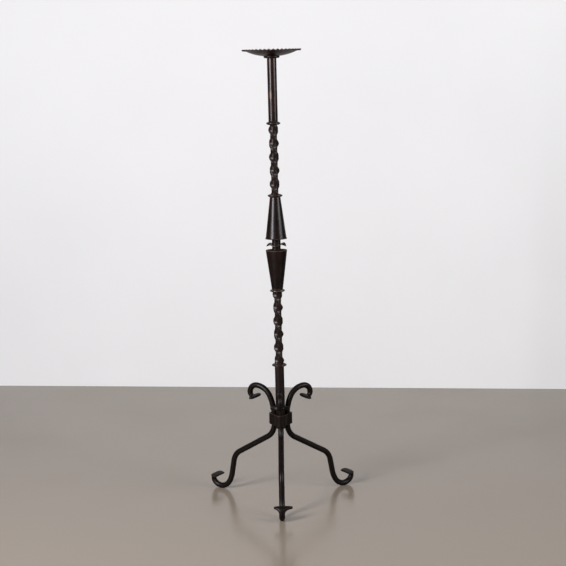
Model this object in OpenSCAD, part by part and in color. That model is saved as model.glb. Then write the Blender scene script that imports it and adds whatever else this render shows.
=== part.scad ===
// Torchere candle stand of wrought iron: a drip pan on a tall shaft of tubes, twisted
// ribbed bars and two cones, with three scrolled legs held by a collar band.
// The shaft's axis is Z, the floor is z = 0, and the front leg points along -Y.

/* [Drip pan] */
// Diameter of the pan over its crimped rim
pan_d = 134; // [110:1:180]
// Diameter of the pan's flat middle, where the candle stands
pan_flat_d = 36; // [34:1:44]
// Thickness of the pan's sheet
pan_sheet = 1.6; // [1.2:0.1:2.4]
// Slope of the dish where it leaves the flat middle
dish_foot_slope = 6; // [3:1:10]
// Slope of the dish where it turns into the flare
dish_rim_slope = 25; // [22:1:34]
// Width of the flat flare outside the dish
flare_w = 10; // [7:1:13]
// Number of scallops round the rim
scallops = 42; // [30:1:54]
// Depth of the cut between two scallops
scallop_depth = 1.4; // [0.8:0.1:1.8]

/* [Pan fixing] */
// Upper diameter of the bevelled seat under the pan
seat_top_d = 36; // [32:1:40]
// Lower diameter of the bevelled seat
seat_foot_d = 30; // [26:1:31]
// Thickness of the seat
seat_t = 4.6; // [3.4:0.2:6]
// Diameter of the pan screw
screw_d = 6; // [5:0.5:7]
// Diameter of the pan screw's countersunk head
screw_head_d = 12; // [10:0.5:13]
// Length of the pan screw below its head
screw_len = 17; // [14:1:20]

/* [Tubes] */
// Outer diameter of both tubes
tube_d = 21.4; // [20:0.2:24]
// Wall of both tubes
tube_wall = 2.3; // [1.6:0.1:2.6]
// Length of the upper tube
upper_tube_len = 141.9; // [100:0.1:220]
// Length of the lower tube
lower_tube_len = 144; // [130:1:220]
// Depth of each plug inside a tube
plug_depth = 22; // [18:1:30]
// How far the lower tube reaches below the band's foot
tube_below_band = 6.2; // [4:0.2:12]

/* [Twisted bars] */
// Thickness of the bar between its two ribs
bar_core_d = 15.8; // [14:0.2:17]
// Reach of the bar's sharp rib from the axis
sharp_reach = 11.7; // [10.5:0.1:12.5]
// Radius of the sharp rib's edge
sharp_r = 2; // [1:0.1:3]
// Reach of the bar's broad rib, opposite the sharp one
broad_reach = 10.4; // [9.5:0.1:12]
// Length in which the upper bar makes one full turn
upper_twist_pitch = 61.2; // [50:0.1:80]
// Length in which the lower bar makes one full turn
lower_twist_pitch = 62.3; // [50:0.1:80]
// Length of the upper twisted bar between its shoulders
upper_twist_len = 156.6; // [110:0.1:200]
// Length of the lower twisted bar between its shoulders
lower_twist_len = 167.5; // [110:0.1:200]
// Direction of the upper bar's sharp rib at its upper shoulder
upper_twist_phase = 114; // [0:1:359]
// Direction of the lower bar's sharp rib at its upper shoulder
lower_twist_phase = 151; // [0:1:359]
// Diameter of the round tenons on the bars and on the neck
tenon_d = 12; // [10:0.5:12]

/* [Rings] */
// Thickness of each ring
ring_t = 6.8; // [5:0.2:8]
// Height of the blunt edge of each ring
ring_edge = 2.6; // [1:0.2:3.4]
// Diameter of the ring under the upper tube
tube_ring_d = 32.2; // [29:0.2:36]
// Diameter of the ring over the upper cone and of the ring over the lower tube
plain_ring_d = 34; // [30:0.2:38]
// Diameter of the ring under the lower cone
lower_cone_ring_d = 34.6; // [30:0.2:38]

/* [Cones] */
// Wall of both cones
cone_wall = 2; // [1.6:0.1:2.4]
// Outer diameter of the upper cone's narrow end
cone_narrow_d = 24.4; // [23:0.2:28]
// Outer diameter of the upper cone's wide end
cone_wide_d = 48; // [42:1:58]
// How much wider the lower cone is than the upper one, all along
lower_cone_more = 1.4; // [0:0.2:2.4]
// Length of the upper cone
upper_cone_len = 95.4; // [60:0.1:130]
// Length of the lower cone
lower_cone_len = 90.6; // [60:0.1:130]
// How far the upper cone's lip stands out
lip_out = 0.9; // [0.4:0.1:1.4]
// Height of the upper cone's lip
lip_h = 2; // [1.4:0.2:3]
// Thickness of the plate in a cone's wide end
plate_t = 4; // [3:0.5:6]
// Thickness of the plug in a cone's narrow end
cone_plug_t = 10; // [8:1:16]

/* [Neck] */
// Diameter of the neck between the cones
neck_d = 20; // [18:0.5:24]
// Length of the neck between the cones
neck_len = 25.6; // [22:0.1:44]
// Diameter of the ruffled washer
ruffle_d = 45.6; // [38:0.2:52]
// Thickness of the ruffled washer
ruffle_t = 1.8; // [1.4:0.1:2.4]
// Number of waves round the ruffled washer
ruffle_waves = 4; // [3:1:6]
// How far a wave rises and falls at the washer's edge
ruffle_rise = 3.8; // [1:0.2:5]

/* [Legs] */
// Diameter of the legs' round bar
leg_d = 13.5; // [11:0.1:14]
// Radius of the bend under the band
shoulder_r = 38; // [30:1:50]
// Length of the sloping run
slope_len = 90.7; // [60:0.1:120]
// Angle of the sloping run from the vertical
slope_angle = 60.2; // [50:0.1:70]
// Radius of the knee
knee_r = 35; // [25:1:45]
// Length of the steep run under the knee
drop_len = 34.5; // [25:0.1:70]
// Angle of the steep run from the vertical
drop_angle = 11; // [5:1:18]
// Radius of the outer turn of the foot scroll
foot_r = 23.3; // [20:0.1:28]
// Depth of the flat that a foot stands on
foot_flat = 0.5; // [0.3:0.1:0.8]
// Radius of the outer turn of the upper scroll
scroll_r = 17.6; // [16:0.2:22]
// Width of a foot's fishtail
foot_end_w = 42; // [30:1:46]
// Thickness of a foot's fishtail
foot_end_t = 4.6; // [3:0.2:6]
// Width of the crossbar that ends an upper scroll
scroll_end_w = 45; // [30:1:50]
// Thickness of the crossbar that ends an upper scroll
scroll_end_t = 8; // [5:0.2:9]

/* [Band] */
// Height of the collar band
band_h = 26; // [18:0.5:32]
// Thickness of the collar band
band_t = 5.1; // [3:0.1:6]
// How far the band is hammered in between the legs
band_dip = 1.6; // [0.4:0.2:2]
// Width of the seam at the back of the band
band_seam = 0.8; // [0.4:0.1:1.2]

/* [Fit] */
// Gap round each piece that fits in another
fit = 0.1; // [0.05:0.01:0.15]

/* [Hidden] */
$fn = 64;

iron = [0.16, 0.14, 0.13];
worn = [0.30, 0.25, 0.21];

// Bends of the leg, as radii and angles turned
foot_first_r = 58;
foot_first_turn = 24;
foot_second_r = 27;
foot_second_turn = 90 - drop_angle - foot_first_turn;
foot_rise_turn = 50;
lift_r = 40;
lift_turn = 14;
lift_len = 12;
sweep_r = 75;
sweep_turn = 16;
crown_r = 40;
crown_turn = 90 - lift_turn - sweep_turn;
scroll_turn = 90;

// The spirals that end a leg: first radius, last radius and angle turned, and then the
// blade past it, a bend that hardly turns, as radius and angle turned
foot_tail = [16, 5.5, 130, 23, 25];
scroll_tail = [11, 9, 90, 34, 12];
// Where along its tail an end begins to flare and where it has its full width, and how
// far its corners curl back
foot_flare = [0.3, 0.6, 1];
scroll_flare = [0.56, 0.86, 0.6];

// Height that a bend of radius r takes while its path goes from angle a to angle b
// off the vertical, and the distance that it moves sideways
function bend_rise(r, a, b) = r * (sin(b) - sin(a));
function bend_reach(r, a, b) = r * (cos(a) - cos(b));

leg_r = tube_d / 2 + leg_d / 2 + fit;
foot_axis_z = leg_d / 2 - foot_flat;
foot_h = bend_rise(foot_first_r, drop_angle, drop_angle + foot_first_turn)
  + bend_rise(foot_second_r, 90 - foot_second_turn, 90);
bend_z = foot_axis_z + foot_h
  + drop_len * cos(drop_angle)
  + bend_rise(knee_r, drop_angle, slope_angle)
  + slope_len * cos(slope_angle)
  + bend_rise(shoulder_r, 0, slope_angle);
foot_reach = leg_r
  + bend_reach(shoulder_r, 0, slope_angle)
  + slope_len * sin(slope_angle)
  + bend_reach(knee_r, drop_angle, slope_angle)
  + drop_len * sin(drop_angle)
  + bend_reach(foot_first_r, drop_angle, drop_angle + foot_first_turn)
  + bend_reach(foot_second_r, 90 - foot_second_turn, 90);

// Heights of the shaft's pieces, from the band up
band_edge = 0.5;
band_z = bend_z + band_edge;
scroll_z = band_z + band_h + 2 * band_edge;
tip_h = 4;
tip_round = 3;
lower_tube_z = band_z - tube_below_band;
base_ring_z = lower_tube_z + lower_tube_len;
lower_twist_z = base_ring_z + ring_t;
lower_cone_ring_z = lower_twist_z + lower_twist_len;
lower_cone_z = lower_cone_ring_z + ring_t;
neck_z = lower_cone_z + lower_cone_len;
upper_cone_z = neck_z + neck_len;
upper_cone_ring_z = upper_cone_z + upper_cone_len;
upper_twist_z = upper_cone_ring_z + ring_t;
tube_ring_z = upper_twist_z + upper_twist_len;
upper_tube_z = tube_ring_z + ring_t;
seat_z = upper_tube_z + upper_tube_len;
pan_z = seat_z + seat_t;

tube_bore_d = tube_d - 2 * tube_wall;
plug_d = tube_bore_d - 2 * fit;
tenon_hole_d = tenon_d + 2 * fit;
plug_tenon = 15;
hole_over = 1;

// A screw's countersink goes in as deep as its head stands out past its shank
screw_head_h = (screw_head_d - screw_d) / 2;
screw_top_z = pan_z + pan_sheet;
screw_hole_d = screw_d + 2 * fit;

// ---------- drip pan ----------

// Points of an arc that starts at p with slope a and ends with slope b
function rise_arc(p, r, a, b, n) = [
  for (i = [0:n])
    let (t = a + (b - a) * i / n)
      [p[0] + r * (sin(t) - sin(a)), p[1] + r * (cos(a) - cos(t))]
];
function fall_arc(p, r, a, b, n) = [
  for (i = [1:n])
    let (t = a + (b - a) * i / n)
      [p[0] + r * (sin(a) - sin(t)), p[1] + r * (cos(t) - cos(a))]
];

arc_steps = 6;
slope_gain = sin(dish_rim_slope) - sin(dish_foot_slope);
dish_r = (pan_d / 2 - flare_w - pan_flat_d / 2) / slope_gain;
flare_r = flare_w / slope_gain;
dish_line = rise_arc([pan_flat_d / 2, 0], dish_r, dish_foot_slope, dish_rim_slope, arc_steps);
flare_line = fall_arc(dish_line[arc_steps], flare_r, dish_rim_slope, dish_foot_slope, arc_steps);
pan_line = concat([[0, 0]], dish_line, flare_line);
pan_h = pan_line[len(pan_line) - 1][1] + pan_sheet;
scallop_cut_r = 2.4;

module pan_profile() {
  polygon(concat(
    pan_line,
    [for (i = [len(pan_line) - 1:-1:0]) pan_line[i] + [0, pan_sheet]]
  ));
}

module drip_pan() {
  color(iron)
  difference() {
    translate([0, 0, pan_z])
      rotate_extrude()
        pan_profile();
    for (i = [0:scallops - 1])
      rotate([0, 0, (i + 0.5) * 360 / scallops])
        translate([pan_d / 2 + scallop_cut_r - scallop_depth, 0, pan_z + pan_sheet])
          cylinder(h = pan_h, r = scallop_cut_r);
    screw_cut();
  }
}

// The screw's clearance hole and countersink, through the pan and its seat
module screw_cut() {
  translate([0, 0, seat_z - hole_over])
    cylinder(h = seat_t + pan_sheet + hole_over, d = screw_hole_d);
  translate([0, 0, screw_top_z - screw_head_h])
    cylinder(
      h = screw_head_h + hole_over,
      d1 = screw_hole_d,
      d2 = screw_hole_d + 2 * (screw_head_h + hole_over)
    );
}

module pan_screw() {
  color(worn)
  translate([0, 0, screw_top_z]) {
    translate([0, 0, -screw_head_h])
      cylinder(h = screw_head_h, d1 = screw_d, d2 = screw_head_d);
    translate([0, 0, -screw_head_h - screw_len])
      cylinder(h = screw_len, d = screw_d);
  }
}

module pan_seat() {
  color(iron)
  difference() {
    translate([0, 0, seat_z])
      cylinder(h = seat_t, d1 = seat_foot_d, d2 = seat_top_d);
    screw_cut();
  }
}

// ---------- tubes and their plugs ----------

module tube(z, length) {
  color(iron)
  translate([0, 0, z])
    difference() {
      cylinder(h = length, d = tube_d);
      translate([0, 0, -hole_over])
        cylinder(h = length + 2 * hole_over, d = tube_bore_d);
    }
}

// A plug with its lower face at z and a hole right through
module plug(z, hole_d) {
  color(iron)
  translate([0, 0, z])
    difference() {
      cylinder(h = plug_depth, d = plug_d);
      translate([0, 0, -hole_over])
        cylinder(h = plug_depth + 2 * hole_over, d = hole_d);
    }
}

module upper_tube() {
  tube(upper_tube_z, upper_tube_len);
}

module lower_tube() {
  tube(lower_tube_z, lower_tube_len);
}

module tube_head_plug() {
  plug(seat_z - plug_depth, screw_hole_d);
}

module tube_foot_plug() {
  plug(upper_tube_z, tenon_hole_d);
}

module lower_tube_plug() {
  plug(base_ring_z - plug_depth, tenon_hole_d);
}

// The rounded end of the shaft under the band, with its spigot up inside the tube
module shaft_tip() {
  color(iron) {
    translate([0, 0, lower_tube_z])
      rotate_extrude()
        union() {
          translate([0, -tip_h])
            square([tube_d / 2 - tip_round, tip_h]);
          translate([0, tip_round - tip_h])
            square([tube_d / 2, tip_h - tip_round]);
          translate([tube_d / 2 - tip_round, tip_round - tip_h])
            intersection() {
              circle(r = tip_round);
              translate([0, -tip_round])
                square(tip_round);
            }
        }
    translate([0, 0, lower_tube_z])
      cylinder(h = plug_depth, d = plug_d);
  }
}

// ---------- rings ----------

// A ring that is bevelled to a blunt edge, standing on z
module ring(z, d) {
  slant = (ring_t - ring_edge) / 2;
  face_r = cone_narrow_d / 2;
  color(worn)
  translate([0, 0, z])
    rotate_extrude()
      polygon([
        [tenon_hole_d / 2, 0],
        [face_r, 0],
        [d / 2, slant],
        [d / 2, ring_t - slant],
        [face_r, ring_t],
        [tenon_hole_d / 2, ring_t]
      ]);
}

module tube_ring() {
  ring(tube_ring_z, tube_ring_d);
}

module upper_cone_ring() {
  ring(upper_cone_ring_z, plain_ring_d);
}

module lower_cone_ring() {
  ring(lower_cone_ring_z, lower_cone_ring_d);
}

module base_ring() {
  ring(base_ring_z, plain_ring_d);
}

// ---------- twisted bars ----------

broad_r = 3.6;
broad_corner = 15.5;
broad_far = (broad_reach - broad_r) / cos(broad_corner);
bar_points = 28;
slices_per_turn = 32;

// The circles that the bar's outline is drawn tight round, each with its middle and radius
bar_circles = [
  [[0, 0], bar_core_d / 2],
  [[sharp_reach - sharp_r, 0], sharp_r],
  [[-broad_far * cos(broad_corner), broad_far * sin(broad_corner)], broad_r],
  [[-broad_far * cos(broad_corner), -broad_far * sin(broad_corner)], broad_r]
];
function reach_towards(c, a) = c[0] * [cos(a), sin(a)] + c[1];
bar_outline = [
  for (k = [0:bar_points - 1])
    let (
      a = 360 * (k + 0.5) / bar_points,
      furthest = max([for (c = bar_circles) reach_towards(c, a)]),
      circle_there = [for (c = bar_circles) if (reach_towards(c, a) == furthest) c][0]
    )
      circle_there[0] + circle_there[1] * [cos(a), sin(a)]
];

// A ribbed bar twisted like a left-hand screw, from z up, with its sharp rib turned by
// phase at its upper shoulder and a round tenon at each end
module twisted_bar(z, length, pitch, phase, tenon_down, tenon_up) {
  turn = 360 * length / pitch;
  color(iron)
  translate([0, 0, z]) {
    rotate([0, 0, phase + turn])
      linear_extrude(
        height = length, twist = turn, $fn = len(bar_outline),
        slices = ceil(turn * slices_per_turn / 360)
      )
        polygon(bar_outline);
    translate([0, 0, -tenon_down])
      cylinder(h = tenon_down + hole_over, d = tenon_d);
    translate([0, 0, length - hole_over])
      cylinder(h = tenon_up + hole_over, d = tenon_d);
  }
}

module upper_twist() {
  twisted_bar(
    upper_twist_z, upper_twist_len, upper_twist_pitch, upper_twist_phase,
    ring_t + cone_plug_t, ring_t + plug_tenon
  );
}

module lower_twist() {
  twisted_bar(
    lower_twist_z, lower_twist_len, lower_twist_pitch, lower_twist_phase,
    ring_t + plug_tenon, ring_t + cone_plug_t
  );
}

// ---------- cones ----------

// A cone's shell with its wide end at z = 0 and its narrow end up, wider than the upper
// cone by more
module cone_shell(length, more) {
  difference() {
    cylinder(h = length, d1 = cone_wide_d + more, d2 = cone_narrow_d + more);
    cone_hollow(length, more);
  }
}

// The space inside a shell, carried on past both ends
module cone_hollow(length, more) {
  taper = (cone_wide_d - cone_narrow_d) / length;
  inner_d = cone_wide_d + more - 2 * cone_wall;
  translate([0, 0, -hole_over])
    cylinder(
      h = length + 2 * hole_over,
      d1 = inner_d + taper * hole_over,
      d2 = inner_d - taper * (length + hole_over)
    );
}

// A disc that fills a shell from height z to z + t, less the fit, with a tenon hole
module cone_disc(length, more, z, t) {
  taper = (cone_wide_d - cone_narrow_d) / length;
  inner_d = cone_wide_d + more - 2 * cone_wall - 2 * fit;
  color(iron)
  difference() {
    translate([0, 0, z])
      cylinder(h = t, d1 = inner_d - taper * z, d2 = inner_d - taper * (z + t));
    translate([0, 0, z - hole_over])
      cylinder(h = t + 2 * hole_over, d = tenon_hole_d);
  }
}

module at_upper_cone() {
  translate([0, 0, upper_cone_z])
    children();
}

module at_lower_cone() {
  translate([0, 0, neck_z])
    mirror([0, 0, 1])
      children();
}

module upper_cone() {
  color(iron)
  at_upper_cone()
    difference() {
      union() {
        cone_shell(upper_cone_len, 0);
        cylinder(h = lip_h, d = cone_wide_d + 2 * lip_out);
      }
      cone_hollow(upper_cone_len, 0);
    }
}

module lower_cone() {
  color(iron)
  at_lower_cone()
    cone_shell(lower_cone_len, lower_cone_more);
}

module upper_cone_plug() {
  at_upper_cone()
    cone_disc(upper_cone_len, 0, upper_cone_len - cone_plug_t, cone_plug_t);
}

module lower_cone_plug() {
  at_lower_cone()
    cone_disc(lower_cone_len, lower_cone_more, lower_cone_len - cone_plug_t, cone_plug_t);
}

module upper_cone_plate() {
  at_upper_cone()
    cone_disc(upper_cone_len, 0, 0, plate_t);
}

module lower_cone_plate() {
  at_lower_cone()
    cone_disc(lower_cone_len, lower_cone_more, 0, plate_t);
}

// ---------- neck ----------

module neck() {
  color(iron) {
    translate([0, 0, neck_z])
      cylinder(h = neck_len, d = neck_d);
    translate([0, 0, neck_z - plate_t])
      cylinder(h = neck_len + 2 * plate_t, d = tenon_d);
  }
}

ruffle_rings = 5;
ruffle_steps = 48;
ruffle_phase = 35;
ruffle_in_r = neck_d / 2 + 2 * fit;
ruffle_below_middle = 0.6;
ruffle_mid_z = neck_z + neck_len / 2 - ruffle_below_middle;

// A point of the ruffled washer: ring k from the neck outwards, step j round it
function ruffle_point(k, j, side) =
  let (
    out = k / ruffle_rings,
    a = 360 * j / ruffle_steps,
    r = ruffle_in_r + (ruffle_d / 2 - ruffle_in_r) * out,
    lift = ruffle_rise * pow(out, 1.5) * cos(ruffle_waves * (a - ruffle_phase))
  )
  [r * cos(a), r * sin(a), lift + side * ruffle_t / 2];

module ruffled_washer() {
  layer = (ruffle_rings + 1) * ruffle_steps;
  function at(k, j, top) = top * layer + k * ruffle_steps + (j + ruffle_steps) % ruffle_steps;
  points = [
    for (side = [-1, 1], k = [0:ruffle_rings], j = [0:ruffle_steps - 1])
      ruffle_point(k, j, side)
  ];
  faces = concat(
    [for (k = [0:ruffle_rings - 1], j = [0:ruffle_steps - 1])
      each [
        [at(k, j, 0), at(k + 1, j, 0), at(k + 1, j + 1, 0)],
        [at(k, j, 0), at(k + 1, j + 1, 0), at(k, j + 1, 0)],
        [at(k, j, 1), at(k + 1, j + 1, 1), at(k + 1, j, 1)],
        [at(k, j, 1), at(k, j + 1, 1), at(k + 1, j + 1, 1)]
      ]],
    [for (j = [0:ruffle_steps - 1])
      each [
        [at(0, j, 0), at(0, j + 1, 0), at(0, j + 1, 1)],
        [at(0, j, 0), at(0, j + 1, 1), at(0, j, 1)],
        [at(ruffle_rings, j, 0), at(ruffle_rings, j + 1, 1), at(ruffle_rings, j + 1, 0)],
        [at(ruffle_rings, j, 0), at(ruffle_rings, j, 1), at(ruffle_rings, j + 1, 1)]
      ]]
  );
  color(worn)
  translate([0, 0, ruffle_mid_z])
    polyhedron(points, faces);
}

// ---------- legs ----------

bend_step = 11;
tail_steps = 12;
blade_steps = 5;
bar_sides = 16;

// A leg's path is walked in the XZ plane, from the band outwards, as small moves of
// [distance, angle turned, share of the fishtail]. Each step of a path is a run,
// [length, 0], or a bend, [radius, angle turned], where a positive turn goes to +X.
function path_moves(path) = [
  for (step = path)
    let (n = step[1] == 0 ? 1 : ceil(abs(step[1]) / bend_step), turn = step[1] / n)
      for (i = [1:n])
        [turn == 0 ? step[0] : 2 * step[0] * sin(abs(turn) / 2), turn, 0]
];

// Moves along a tail's spiral and then along its blade
function tail_moves(tail) = [
  for (i = [1:tail_steps])
    let (
      r = tail[0] + (tail[1] - tail[0]) * (i - 0.5) / tail_steps,
      turn = tail[2] / tail_steps
    )
      [2 * r * sin(turn / 2), turn, i / (tail_steps + blade_steps)],
  for (i = [1:blade_steps])
    let (turn = tail[4] / blade_steps)
      [2 * tail[3] * sin(turn / 2), turn, (tail_steps + i) / (tail_steps + blade_steps)]
];

// The stations that the moves lead to: [x, z, heading, share of the fishtail]
function stations(moves) = [
  for (
    i = 0, x = leg_r, z = 0, h = 0, share = 0;
    i <= len(moves);
    m = i < len(moves) ? moves[i] : [0, 0, 0],
    x = x + m[0] * sin(h + m[1] / 2),
    z = z + m[0] * cos(h + m[1] / 2),
    h = h + m[1],
    share = m[2],
    i = i + 1
  )
  [x, z, h, share]
];

// How wide an end is at a share of its tail: 0 where it begins to flare, 1 where full
function flare_at(share, flare) =
  let (t = max(0, min(1, (share - flare[0]) / (flare[1] - flare[0]))))
    t * t * (3 - 2 * t);

// Points round the bar at a station, where the end is forged out to width w and
// thickness t, and its corners curl back
function bar_section(s, w, t, flare) = [
  for (j = [0:bar_sides - 1])
    let (
      a = 360 * j / bar_sides,
      spread = flare_at(s[3], flare),
      half_w = leg_d / 2 + (w - leg_d) / 2 * spread,
      half_t = t / 2 + (leg_d - t) / 2 * pow(1 - s[3], 1.1),
      off = half_t * sin(a) - flare[2] * spread * pow(cos(a), 2)
    )
      [s[0] + off * cos(s[2]), half_w * cos(a), s[1] - off * sin(s[2])]
];

foot_path = [
  [shoulder_r, slope_angle],
  [slope_len, 0],
  [knee_r, drop_angle - slope_angle],
  [drop_len, 0],
  [foot_first_r, foot_first_turn],
  [foot_second_r, foot_second_turn],
  [foot_r, foot_rise_turn]
];
scroll_path = [
  [lift_r, lift_turn],
  [lift_len, 0],
  [sweep_r, sweep_turn],
  [crown_r, crown_turn],
  [scroll_r, scroll_turn]
];
foot_sections = [
  for (s = stations(concat(path_moves(foot_path), tail_moves(foot_tail))))
    [for (p = bar_section(s, foot_end_w, foot_end_t, foot_flare)) [p[0], p[1], bend_z - p[2]]]
];
scroll_sections = [
  for (s = stations(concat(path_moves(scroll_path), tail_moves(scroll_tail))))
    [for (p = bar_section(s, scroll_end_w, scroll_end_t, scroll_flare)) [p[0], p[1], scroll_z + p[2]]]
];

// One closed skin over a row of sections, each with bar_sides points
module skin(sections) {
  last = len(sections) - 1;
  function at(i, j) = i * bar_sides + (j + bar_sides) % bar_sides;
  sides = [
    for (i = [0:last - 1], j = [0:bar_sides - 1])
      each [
        [at(i, j), at(i + 1, j + 1), at(i + 1, j)],
        [at(i, j), at(i, j + 1), at(i + 1, j + 1)]
      ]
  ];
  ends = [
    for (j = [0:bar_sides / 2 - 1])
      each [
        [at(last, j), at(last, -j - 1), at(last, -j)],
        [at(last, j), at(last, j + 1), at(last, -j - 1)],
        [at(0, j), at(0, -j), at(0, -j - 1)],
        [at(0, j), at(0, -j - 1), at(0, j + 1)]
      ]
  ];
  polyhedron(
    [for (section = sections) each section],
    [for (f = concat(sides, ends)) if (f[0] != f[1] && f[1] != f[2] && f[2] != f[0]) f]
  );
}

// A leg in the direction az, from the fishtail of its foot to that of its upper
// scroll, with the flat that it stands on
module leg(az) {
  from_foot = [for (i = [len(foot_sections) - 1:-1:0]) foot_sections[i]];
  color(iron)
  rotate([0, 0, az])
    difference() {
      skin(concat(from_foot, scroll_sections));
      translate([foot_reach - leg_d, -leg_d, -leg_d])
        cube([2 * leg_d, 2 * leg_d, leg_d]);
    }
}

module front_leg() {
  leg(-90);
}

module right_leg() {
  leg(30);
}

module left_leg() {
  leg(150);
}

// ---------- collar band ----------

// The outline round the three leg bars at distance off from their surface: an arc round
// each bar, then a hollow up to the next one
function band_outline(off) = [
  for (az = [-90, 30, 150])
    each concat(band_arc(az, leg_d / 2 + off), band_hollow(az + 60, leg_d / 2 + off))
];

band_steps = 12;
function band_arc(az, r) = [
  for (i = [0:band_steps])
    let (a = az - 60 + 120 * i / band_steps)
      leg_r * [cos(az), sin(az)] + r * [cos(a), sin(a)]
];
function band_hollow(az, r) = [
  for (i = [1:band_steps - 1])
    let (
      t = 2 * i / band_steps - 1,
      out = leg_r * cos(60) + r - band_dip * (1 + cos(180 * t)) / 2,
      side = leg_r * sin(60) * t
    )
      out * [cos(az), sin(az)] + side * [-sin(az), cos(az)]
];

module base_band() {
  color(iron)
  translate([0, 0, band_z])
    linear_extrude(height = band_h)
      difference() {
        polygon(band_outline(band_t));
        polygon(band_outline(fit));
        rotate(90)
          translate([0, -band_seam / 2])
            square([leg_r + leg_d + band_t, band_seam]);
      }
}

drip_pan();
pan_screw();
pan_seat();
tube_head_plug();
upper_tube();
tube_foot_plug();
tube_ring();
upper_twist();
upper_cone_ring();
upper_cone_plug();
upper_cone();
upper_cone_plate();
neck();
ruffled_washer();
lower_cone_plate();
lower_cone();
lower_cone_plug();
lower_cone_ring();
lower_twist();
base_ring();
lower_tube_plug();
lower_tube();
shaft_tip();
base_band();
front_leg();
right_leg();
left_leg();
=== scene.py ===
from math import atan2, ceil, copysign, cos, hypot, pi, radians, sin, tan

import bpy
import numpy as np
from mathutils import Matrix, Vector, noise


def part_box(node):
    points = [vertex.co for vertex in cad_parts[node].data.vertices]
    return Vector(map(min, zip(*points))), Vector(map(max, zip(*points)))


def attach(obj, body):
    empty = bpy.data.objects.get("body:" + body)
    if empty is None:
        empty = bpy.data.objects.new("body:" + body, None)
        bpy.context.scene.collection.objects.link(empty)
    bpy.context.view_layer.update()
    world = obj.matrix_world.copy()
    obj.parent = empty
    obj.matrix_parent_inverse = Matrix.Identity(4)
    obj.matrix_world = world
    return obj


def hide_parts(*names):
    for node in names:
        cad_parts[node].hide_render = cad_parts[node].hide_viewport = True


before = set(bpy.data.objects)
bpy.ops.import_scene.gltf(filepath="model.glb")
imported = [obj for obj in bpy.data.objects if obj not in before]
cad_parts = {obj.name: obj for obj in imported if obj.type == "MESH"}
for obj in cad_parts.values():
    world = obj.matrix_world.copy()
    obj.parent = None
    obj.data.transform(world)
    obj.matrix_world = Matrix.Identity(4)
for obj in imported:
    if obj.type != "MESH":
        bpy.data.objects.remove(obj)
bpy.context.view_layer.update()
mm = 0.001
fit = 0.1 * mm      # the gap left between pieces that go into each other


def lowOf(node):
    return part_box(node)[0]


def highOf(node):
    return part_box(node)[1]


def radiusOf(node):
    return (highOf(node)[0] - lowOf(node)[0]) / 2


def roundCorners(corners, steps=5):
    # corners are (r, z, radius); a corner with no radius stays sharp
    points = []
    for i, (x, z, radius) in enumerate(corners):
        if radius <= 0:
            points.append((x, z))
            continue
        here = Vector((x, z))
        before = Vector(corners[i - 1][:2]) - here
        after = Vector(corners[(i + 1) % len(corners)][:2]) - here
        half = before.angle(after) / 2
        longest = 0.49 * min(before.length, after.length)     # leaves room for the next corner
        reach = min(radius / tan(half), longest)
        bend = reach * tan(half)
        middle = here + (before.normalized() + after.normalized()).normalized() * (bend / sin(half))
        start = here + before.normalized() * reach - middle
        end = here + after.normalized() * reach - middle
        sweep = atan2(start.x * end.y - start.y * end.x, start.dot(end))
        for k in range(steps + 1):
            t = sweep * k / steps
            points.append((
                middle.x + start.x * cos(t) - start.y * sin(t),
                middle.y + start.x * sin(t) + start.y * cos(t),
            ))
    return points


def denser(points, step, closed=True):
    # points are added along the long runs, so that hammer marks have something to move
    result = []
    last = len(points) if closed else len(points) - 1
    for i in range(last):
        a = Vector(points[i])
        b = Vector(points[(i + 1) % len(points)])
        parts = max(1, ceil((b - a).length / step))
        result += [tuple(a.lerp(b, k / parts)) for k in range(parts)]
    if not closed:
        result.append(tuple(points[-1]))
    return result


def addObject(name, points, faces, material, node):
    mesh = bpy.data.meshes.new(name)
    mesh.from_pydata(points, [], faces)
    mesh.validate()
    mesh.shade_smooth()
    mesh.set_sharp_from_angle(angle=radians(50))
    markWearAndShade(mesh)
    piece = bpy.data.objects.new(name, mesh)
    bpy.context.scene.collection.objects.link(piece)
    mesh.materials.append(material)
    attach(piece, "root")
    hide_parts(node)
    return piece


# limits for the rubbed wear on ridges and for the painted shade in hollows
wear = {
    "wornFrom": 1 / (5 * mm),     # a ridge of this bend starts to be rubbed bright
    "wornTo": 1 / (1.0 * mm),
    "hollowShadeFrom": 1 / (9 * mm),     # painted shade: a hollow of this bend starts to be darkened
    "hollowShadeTo": 1 / (1.5 * mm),
}


def markWearAndShade(mesh):
    # how far each vertex stands out or lies in, kept for the materials
    count = len(mesh.vertices)
    place = np.empty(count * 3)
    mesh.vertices.foreach_get("co", place)
    place = place.reshape(-1, 3)
    normal = np.empty(count * 3)
    mesh.vertex_normals.foreach_get("vector", normal)
    normal = normal.reshape(-1, 3)
    edges = np.empty(len(mesh.edges) * 2, dtype=np.int64)
    mesh.edges.foreach_get("vertices", edges)
    first, second = edges.reshape(-1, 2).T
    run = place[second] - place[first]
    length = np.maximum((run * run).sum(1), 1e-12)
    ridge = np.zeros(count)
    hollow = np.zeros(count)
    for ends, sign in ((first, -1), (second, 1)):
        bend = sign * 2 * (run * normal[ends]).sum(1) / length
        np.maximum.at(ridge, ends, bend)
        np.maximum.at(hollow, ends, -bend)
    worn = (ridge - wear["wornFrom"]) / (wear["wornTo"] - wear["wornFrom"])
    # the share in a hollow is painted shade, darkening creases and inner bends in the colour
    hollowShade = (hollow - wear["hollowShadeFrom"]) / (wear["hollowShadeTo"] - wear["hollowShadeFrom"])
    for label, share in (("worn", worn), ("hollowShade", hollowShade)):
        layer = mesh.attributes.new(label, "FLOAT", "POINT")
        layer.data.foreach_set("value", np.clip(share, 0, 1).astype(np.float32))


def facesBetween(rows, around, joined):
    # each row is a ring of points; joined also ties the last row to the first
    faces = []
    for i in range(rows if joined else rows - 1):
        for j in range(around):
            up = (i + 1) % rows
            side = (j + 1) % around
            faces.append((i * around + j, i * around + side, up * around + side, up * around + j))
    return faces


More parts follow.
